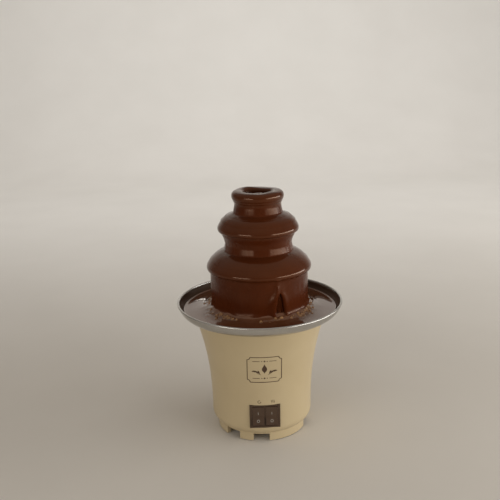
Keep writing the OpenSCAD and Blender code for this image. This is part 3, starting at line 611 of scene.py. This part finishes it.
def build_strands():
    """Threads of chocolate that hang in the split, each at its own angle and of its own thickness."""
    ring, rows = 10, 28
    behind, foot_h, over = 0.9, 1, 2
    gather, sway, thin, swell, knots = 0.55, 0.5, 0.75, 0.6, 0.12
    verts, faces = [], []
    for off, thick in ((-4.4, 1.0), (-2.0, 0.75), (0.3, 1.1), (2.5, 0.7), (4.5, 0.95)):
        start = len(verts)
        for k in range(rows):
            t = k / (rows - 1)
            az = math.radians(SPLIT_AZ + off * (1 - gather * t) + sway * math.sin(5 * t + 3 * off))
            r = CURTAIN_R - CURTAIN - behind + t
            z = POOL_Z + foot_h + (SPLIT_H + over) * t
            w = thick * (thin + swell * (1 - t) ** 3 + knots * math.sin(9 * t + off))
            verts += [around(r + w * math.cos(a), az + w * math.sin(a) / r, z) for a in turns(ring)]
        faces += strips(rows, ring, range(ring), start=start)
        for first in (start, start + (rows - 1) * ring):
            faces.append(tuple(range(first, first + ring)))
    obj = mesh_object("split_strands", verts, faces, "tower", mats["chocolate"], sharp_angle=60)


build_strands()

# The pool in the bowl, with ripples and bubbles where the curtain lands


def pool_edge_r(z):
    """The radius of the lip's inside at a height."""
    edge = RIM_Z - BEAD_R
    wide, tall = RIM_R - BEAD_R - SHOULDER_R - SHEET, edge - TOP_Z - SHEET
    return SHOULDER_R + wide * math.sqrt(max(0.0, 1 - ((edge - z) / tall) ** 2))


def scatter_bubbles():
    """Rows of x, y and radius, in groups with a middle angle, a spread in degrees and a count."""
    rng = random.Random(4)
    nearest_r, spread_r, least, most = 50.2, 2.6, 0.5, 1.35
    out = []
    for centre, spread, count in ((-46, 8, 46), (54, 11, 60), (8, 20, 14), (150, 40, 46), (-115, 30, 40)):
        for _ in range(count):
            a = math.radians(rng.gauss(centre, spread))
            r = nearest_r + abs(rng.gauss(0, spread_r))
            out.append(around(r, a, rng.uniform(least, most)))
    return np.array(out)


def bubble_depth(bubbles, x, y):
    """For each bubble, the square of its height over a place, or less than nothing outside it."""
    return bubbles[:, 2] ** 2 - ((bubbles[:, 0] - x) ** 2 + (bubbles[:, 1] - y) ** 2)


def mound(r):
    """The heap of chocolate round the curtain's foot."""
    crest_r, crest_h, fall_out, fall_in = 47, 8.0, 7.5, 12
    return crest_h * (math.exp(-(r - crest_r) / fall_out) if r > crest_r else bell(r, crest_r, fall_in))


def ripples(x, y, r, swirl):
    """Rings that run out from the curtain, and uneven swells."""
    ring_h, ring_gap, most_at, fade_w = 0.22, 5.2, 46.5, 8.0
    rings = ring_h * (1 + 0.8 * swirl) * math.cos(2 * math.pi * (r + 1.5 * swirl) / ring_gap)
    swell, slow = (
        height * noise.noise(Vector((x * scale, y * scale, seed)))
        for height, scale, seed in ((0.6, 0.17, 3.0), (0.10, 0.06, 9.0))
    )
    return bell(r, most_at, fade_w) * (rings + swell) + slow


def pool_radii(inner, outer):
    """Rows across the pool, close together among the bubbles and at the edge."""
    stretches = ((inner, 45, 10), (45.6, 60, 42), (60.8, outer - 2.4, 16), (outer - 2, outer, 9))
    return np.concatenate([np.linspace(start, end, count) for start, end, count in stretches])


def build_pool():
    """Columns from the tower's flange out over the pool and up the film on the lip."""
    bubbles = scatter_bubbles()
    level, ripple_from, bubble_tall, edge_h, edge_w = POOL_Z - 1.6, 44, 0.85, 0.8, 0.9
    film_low, film_high, film_rows, film_t, film_end_t = POOL_Z - 2.1, RIM_Z - 2.0, 12, 0.28, 0.02
    inner, outer = FLANGE_R + 0.4, pool_edge_r(POOL_Z - 1.8) - 0.3
    radii = pool_radii(inner, outer)
    last = film_rows - 1
    verts = []
    for a in turns(POOL_COLUMNS):
        az = math.degrees(a)
        swirl = bumps(az, scale=2.2, seed=11)
        for r in radii:
            x, y, z = around(r, a, level + mound(r))
            if r > ripple_from:
                z += ripples(x, y, r, swirl)
                z += bubble_tall * math.sqrt(max(0.0, bubble_depth(bubbles, x, y).max()))
            verts.append((x, y, z + edge_h * math.exp(-(outer - r) / edge_w)))
        film_wave = 0.7 * bumps(az, scale=3.0, seed=21) + 0.3 * bumps(az, scale=9.0, seed=22)
        for k, z in enumerate(np.linspace(film_low, film_high, film_rows)):
            z += film_wave * k / last
            verts.append(around(pool_edge_r(z) - (film_t if k < last else film_end_t), a, z))
        verts.append(around(inner, a, BOWL_FLOOR + 0.3))
    top = len(radii) + film_rows
    faces = strips(POOL_COLUMNS, top + 1, [*range(top - 1), top], wrap=True)
    # The pool's lighter brown holds a painted reflection of the curtain.
    obj = mesh_object("chocolate_in_bowl", verts, faces, "base", mats["still_chocolate"], sharp_angle=60)
    for name in ("chocolate_film", "froth_with_painted_glints"):
        obj.data.materials.append(mats[name])
    film_slot, froth_glint_slot, film_from = 1, 2, outer - 0.05
    for p in obj.data.polygons:
        x, y = p.center.x / MM, p.center.y / MM
        if math.hypot(x, y) > film_from:
            p.material_index = film_slot
        # Bubbles take the froth material, whose light golden specks are painted glints.
        elif np.any(bubble_depth(bubbles, x, y) > 0):
            p.material_index = froth_glint_slot
    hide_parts("chocolate_pool")


build_pool()

# Chocolate that wells up on the auger, seen in the crown's mouth


def build_swirl():
    columns, rows = 160, 26
    edge_r, level, foot_z = 12.3, CROWN_TOP - 4.4, CROWN_TOP - 11.6
    ring_r, ring_w, ring_h = 5.5, 4.2, 2.0
    twist, wave_h, uneven = 16, 0.9, 0.35
    verts = []
    for a in turns(columns):
        az = math.degrees(a)
        for k in range(rows):
            r = edge_r * k / (rows - 1)
            z = level + ring_h * bell(r, ring_r, ring_w)
            z += wave_h * (r / edge_r) * math.cos(math.radians(az - twist * (edge_r - r)))
            z += uneven * bumps(az, scale=1.2, seed=14, along=0.2 * r)
            verts.append(around(r, a, z))
        verts.append(around(edge_r, a, foot_z))
    n = rows + 1
    faces = strips(columns, n, range(rows), wrap=True)
    faces.append(tuple(c * n + rows for c in range(columns)))
    obj = mesh_object("chocolate_swirl", verts, faces, "auger", mats["chocolate"], sharp_angle=60)


build_swirl()

# Print on the housing and marks on the rockers

PRINT_LIFT = 0.07
MARK_LIFT = 0.06
BADGE_Z = 81.2
BADGE_W = 33.2
BADGE_H = 27.6
BADGE_NOTCH = 2.8


def on_housing(x, z):
    r = housing_r(z) + PRINT_LIFT
    return around(r, x / r, z)


def on_rocker(side, x, v):
    u = FACE_OUT + FACE_RISE * abs(v) / FACE_HALF + MARK_LIFT
    t = math.radians(-ROCKER_TILT)
    y, z = -u * math.cos(t) - v * math.sin(t), -u * math.sin(t) + v * math.cos(t)
    return (side * ROCKER_X + x, PIVOT_Y + y, SWITCH_Z + z)


def stroke(points, width, closed=False, step=0.5):
    """A flat band along a line in the plane, as vertices and quads."""
    pts = [tuple(p) for p in points]
    if closed:
        pts.append(pts[0])
    line = []
    for a, b in zip(pts, pts[1:]):
        n = max(1, int(math.hypot(b[0] - a[0], b[1] - a[1]) / step))
        line += [(a[0] + (b[0] - a[0]) * i / n, a[1] + (b[1] - a[1]) * i / n) for i in range(n)]
    line.append(pts[-1])
    verts = []
    m = len(line)
    for i, p in enumerate(line):
        if closed:
            q, s = line[(i - 1) % (m - 1)], line[(i + 1) % (m - 1)]
        else:
            q, s = line[max(0, i - 1)], line[min(m - 1, i + 1)]
        dx, dy = s[0] - q[0], s[1] - q[1]
        k = math.hypot(dx, dy) or 1.0
        nx, ny = -dy / k * width / 2, dx / k * width / 2
        verts += [(p[0] + nx, p[1] + ny), (p[0] - nx, p[1] - ny)]
    return verts, strips(m, 2, range(1))


def fan(centre, ring):
    """Triangles from a centre to a closed ring of points."""
    n = len(ring)
    return [centre] + ring, [(0, i + 1, (i + 1) % n + 1) for i in range(n)]


def disc(cx, cz, r):
    return fan((cx, cz), [(cx + r * math.cos(a), cz + r * math.sin(a)) for a in turns(28)])


def leaf(cx, cz, length, wide, turn):
    n = 12
    c, s = math.cos(math.radians(turn)), math.sin(math.radians(turn))
    ring = []
    for i in range(2 * n):
        side, t = (1, i / n) if i < n else (-1, (2 * n - i) / n)
        x, y = length * t, side * wide / 2 * math.sin(math.pi * t) ** 0.8
        ring.append((cx + c * x - s * y, cz + s * x + c * y))
    return fan((cx + c * length / 2, cz + s * length / 2), ring)


def drop(cz):
    """A drop with its point up, from its point down the right side and up the left one."""
    half_w, tip_z, fall, foot_z = 3.3, cz + 6.2, 9.6, cz - 4.4
    right = []
    for a in range(18, 180, 9):
        t = a / 180
        x = half_w * math.sin(math.radians(a)) * (0.35 + 0.65 * t ** 0.8)
        right.append((x, tip_z - fall * t ** 0.9))
    left = [(-x, z) for x, z in reversed(right)]
    return fan((0, cz - 0.8), [(0, tip_z)] + right + [(0, foot_z)] + left)


def badge_frame():
    """A frame whose corners turn in, as a ticket's do."""
    points = []
    for side, up, a0 in ((1, 1, 270), (-1, 1, 0), (-1, -1, 90), (1, -1, 180)):
        points += arc(side * BADGE_W / 2, up * BADGE_H / 2, BADGE_NOTCH, BADGE_NOTCH, a0, a0 - 90, 6)
    return near(0, BADGE_Z, *points)


def print_piece(name, shapes, place, body, mat):
    verts, faces = [], []
    for v, f in shapes:
        o = len(verts)
        verts += [place(*p) for p in v]
        faces += [tuple(o + i for i in q) for q in f]
    obj = mesh_object(name, verts, faces, body, mat, sharp_angle=60)


def spray(side):
    """A stem and four leaves beside the drop."""
    first_x, next_x, first_z, next_z = 4.6, 1.5, BADGE_Z - 4.6, 1.15
    long, shorter, wide = 4.3, 0.35, 1.5
    shapes = []
    for k, turn in enumerate((64, 38, 12, -14)):
        x, z = side * (first_x + next_x * k), first_z + next_z * k
        shapes.append(leaf(x, z, long - shorter * k, wide, turn if side > 0 else 180 - turn))
    stem = [(side * (3.4 + 6.4 * t), BADGE_Z - 5.4 + 4.6 * t ** 1.5) for t in np.linspace(0, 1, 9)]
    shapes.append(stroke(stem, width=0.4))
    return shapes


def badge():
    line_dz, line_in, line_out, line_w = 9.4, 4.6, 11.5, 0.55
    shapes = [stroke(badge_frame(), width=0.75, closed=True, step=0.4)]
    for z in (BADGE_Z + line_dz, BADGE_Z - line_dz):
        shapes.append(stroke([(-line_out, z), (-line_in, z)], line_w))
        shapes.append(stroke([(line_in, z), (line_out, z)], line_w))
        shapes += [disc(x, z, r) for x, r in ((0, 0.85), (-2.6, 0.5), (2.6, 0.5))]
    shapes += [drop(BADGE_Z), *spray(-1), *spray(1)]
    print_piece("badge_print", shapes, on_housing, "base", mats["brown_ink"])


badge()


def signs():
    """A turning arrow over the motor's switch, and three heat waves over the heater's."""
    z, aside, line_w, step = SWITCH_Z + 15.8, 1.2, 0.42, 0.2
    spin_r, wave_h, wave_w, wave_gap = 1.45, 3.0, 0.32, 1.3
    spin = arc(-ROCKER_X + aside, z, spin_r, spin_r, 60, 330, 20)
    arrow = near(*spin[-1], (-0.75, 0.1), (0.65, 0.25), (0.25, 1.1))
    shapes = [stroke(spin, line_w, step=step), (arrow, [(0, 1, 2)])]
    for k in (-1, 0, 1):
        x = ROCKER_X + aside + k * wave_gap
        rise = np.linspace(0, 1, 13)
        wave = [(x + wave_w * math.sin(2 * math.pi * t), z - wave_h / 2 + wave_h * t) for t in rise]
        shapes.append(stroke(wave, line_w, step=step))
    print_piece("switch_signs", shapes, on_housing, "base", mats["brown_ink"])


signs()


def rocker_marks(side, body, name):
    """The marks for on and off, at heights from the rocker's middle."""
    bar_low, bar_high, ring_v, ring_r = 1.2, 3.8, -4.9, 1.2
    bar = stroke([(0, bar_low), (0, bar_high)], width=0.55)
    ring = stroke(arc(0, ring_v, ring_r, ring_r, 0, 342, 19), width=0.5, closed=True, step=0.3)

    def place(x, v):
        return on_rocker(side, x, v)

    print_piece(name, [bar, ring], place, body, mats["mark_white"])


rocker_marks(-1, "motor_switch", "motor_marks")
rocker_marks(1, "heat_switch", "heat_marks")

# Floor, light and camera in metres and degrees; they stand a little to the left of the switches' front

FLOOR_HALF = 4.0
FLOOR_FRONT = -3.0
FLOOR_BACK = 2.2
FLOOR_BEND = 0.8
BACKDROP_H = 2.4
CAM_TURN = -3.3
CAM_BACK = 0.6755
CAM_UP = 0.3674
CAM_PAN = 0.715
CAM_DIP = 15.212
CAM_ROLL = -1.404
CAM_LENS = 51.402
CAM_SENSOR = 36.0


def floor_paper():
    """Paper that is lighter to the camera and in reflections than for the light that it throws back."""
    factor, colour_a, colour_b, colour_out = 0, 6, 7, 2
    m, t, s = new_material("floor_paper")
    cloud = noise_from(t, plain_coords(t), scale=6, detail=4)
    mix = add(t, "ShaderNodeMix", data_type="RGBA")
    path = add(t, "ShaderNodeLightPath")
    shown = path.outputs["Is Camera Ray"]
    for kind in ("Is Glossy Ray", "Is Transmission Ray"):
        either = add(t, "ShaderNodeMath", operation="MAXIMUM")
        link(t, shown, either.inputs[0])
        link(t, path.outputs[kind], either.inputs[1])
        shown = either.outputs[0]
    thrown = ramp_between(t, cloud, dark=(0.565, 0.53, 0.475), light=(0.595, 0.56, 0.505))
    looked_at = ramp_between(t, cloud, dark=(0.74, 0.705, 0.65), light=(0.77, 0.735, 0.68))
    link(t, shown, mix.inputs[factor])
    link(t, thrown, mix.inputs[colour_a])
    link(t, looked_at, mix.inputs[colour_b])
    link(t, mix.outputs[colour_out], s.inputs["Base Color"])
    s.inputs["Roughness"].default_value = 0.9
    s.inputs["Specular IOR Level"].default_value = 0.1
    return m


def stage():
    bend = arc(FLOOR_BACK - FLOOR_BEND, FLOOR_BEND, FLOOR_BEND, FLOOR_BEND, -90, 0, 13)
    line = [(FLOOR_FRONT, 0.0)] + bend + [(FLOOR_BACK, BACKDROP_H)]
    verts = [(x, y, z) for y, z in line for x in (-FLOOR_HALF, FLOOR_HALF)]
    faces = strips(len(line), 2, range(1))
    mesh = bpy.data.meshes.new("floor")
    mesh.from_pydata(verts, [], faces)
    mesh.polygons.foreach_set("use_smooth", [True] * len(faces))
    mesh.materials.append(floor_paper())
    obj = bpy.data.objects.new("floor", mesh)
    bpy.context.scene.collection.objects.link(obj)


def softbox(name, azimuth, distance, height, size, power, colour, aim=(0, 0, 0.16)):
    data = bpy.data.lights.new(name, "AREA")
    data.shape = "RECTANGLE"
    data.size, data.size_y = size
    data.energy = power
    data.color = colour
    obj = bpy.data.objects.new(name, data)
    obj.location = around(distance, math.radians(azimuth + CAM_TURN), height)
    obj.rotation_euler = (Vector(aim) - obj.location).to_track_quat("-Z", "Y").to_euler()
    bpy.context.scene.collection.objects.link(obj)


def studio_world():
    """Soft light from all sides, stronger from above."""
    world = bpy.data.worlds.new("studio")
    bpy.context.scene.world = world
    world.use_nodes = True
    sky = world.node_tree
    background = sky.nodes["Background"]
    up = add(sky, "ShaderNodeSeparateXYZ")
    link(sky, add(sky, "ShaderNodeTexCoord").outputs["Generated"], up.inputs[0])
    strength = remap(sky, up.outputs["Z"], low=0.17, high=0.46, lo_in=0.1, hi_in=0.9)
    link(sky, strength, background.inputs["Strength"])
    background.inputs["Color"].default_value = (0.96, 0.88, 0.79, 1)


def photo_camera():
    cam = bpy.data.cameras.new("photo_camera")
    cam.sensor_width = CAM_SENSOR
    cam.lens = CAM_LENS
    obj = bpy.data.objects.new("photo_camera", cam)
    bpy.context.scene.collection.objects.link(obj)
    obj.matrix_world = (
        Matrix.Rotation(math.radians(CAM_TURN), 4, "Z")
        @ Matrix.Translation((0, -CAM_BACK, CAM_UP))
        @ Matrix.Rotation(math.radians(CAM_PAN), 4, "Z")
        @ Matrix.Rotation(math.radians(90 - CAM_DIP), 4, "X")
        @ Matrix.Rotation(math.radians(CAM_ROLL), 4, "Z")
    )
    bpy.context.scene.camera = obj


stage()
softbox(
    "right_box", azimuth=76, distance=1.2, height=0.29, size=(1.8, 0.28), power=10.7,
    colour=(1.0, 0.985, 0.95),
)
softbox(
    "left_strip", azimuth=-38, distance=1.25, height=0.27, size=(0.8, 0.14), power=3.0,
    colour=(1.0, 0.98, 0.94),
)
softbox(
    "backdrop_light", azimuth=168, distance=0.75, height=1.3, size=(2.6, 0.4), power=19.0,
    colour=(0.92, 0.955, 1.0), aim=(0.25, 2.2, 0.55),
)
studio_world()
photo_camera()
bpy.context.scene.view_settings.view_transform = "Standard"
